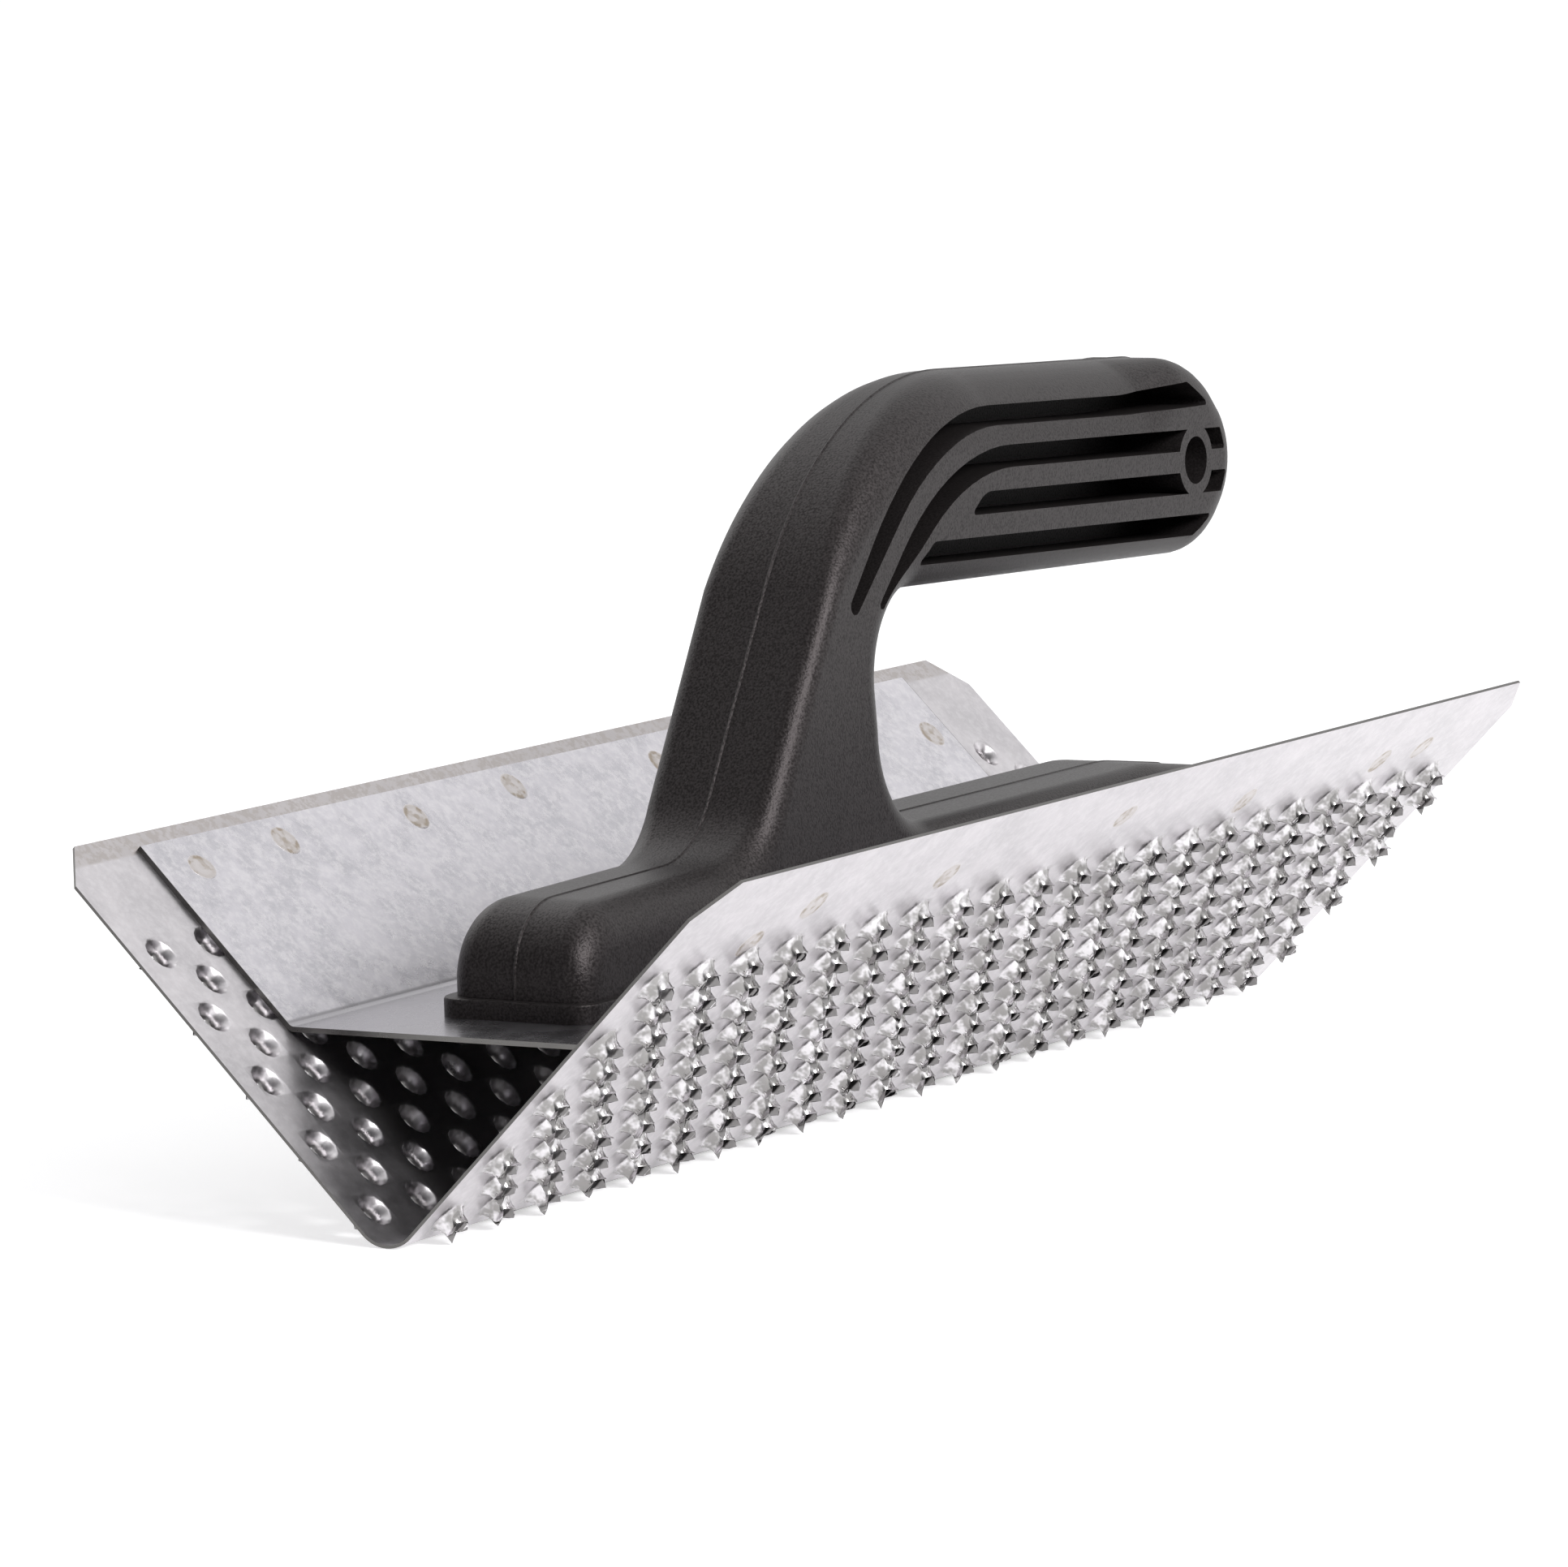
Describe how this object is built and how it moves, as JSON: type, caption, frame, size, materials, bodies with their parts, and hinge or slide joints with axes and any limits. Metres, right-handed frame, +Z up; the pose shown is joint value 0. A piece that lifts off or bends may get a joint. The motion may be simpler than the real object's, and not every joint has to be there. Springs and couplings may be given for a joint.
{
  "type": "foam rasp",
  "caption": "V-shaped sheet steel foam rasp with crown-shaped punched teeth on both walls, a welded carrier channel and a moulded handle with a hang hole.",
  "frame": {"origin": "midway along the plate and across the V, on the surface that the lowest tooth tips stand on", "axes": "+X along the fold towards the closed end of the grip, +Y across the V, +Z up"},
  "size_m": [0.28, 0.1178, 0.1174],
  "materials": {
    "plate_steel": "satin",
    "carrier_steel": "satin",
    "handle_plastic": "matte",
    "screw_steel": "satin"
  },
  "bodies": {
    "root": {"rasp_plate": "plate_steel", "carrier_channel": "carrier_steel", "handle": "handle_plastic", "foot_screws": "screw_steel"}
  },
  "joints": []
}
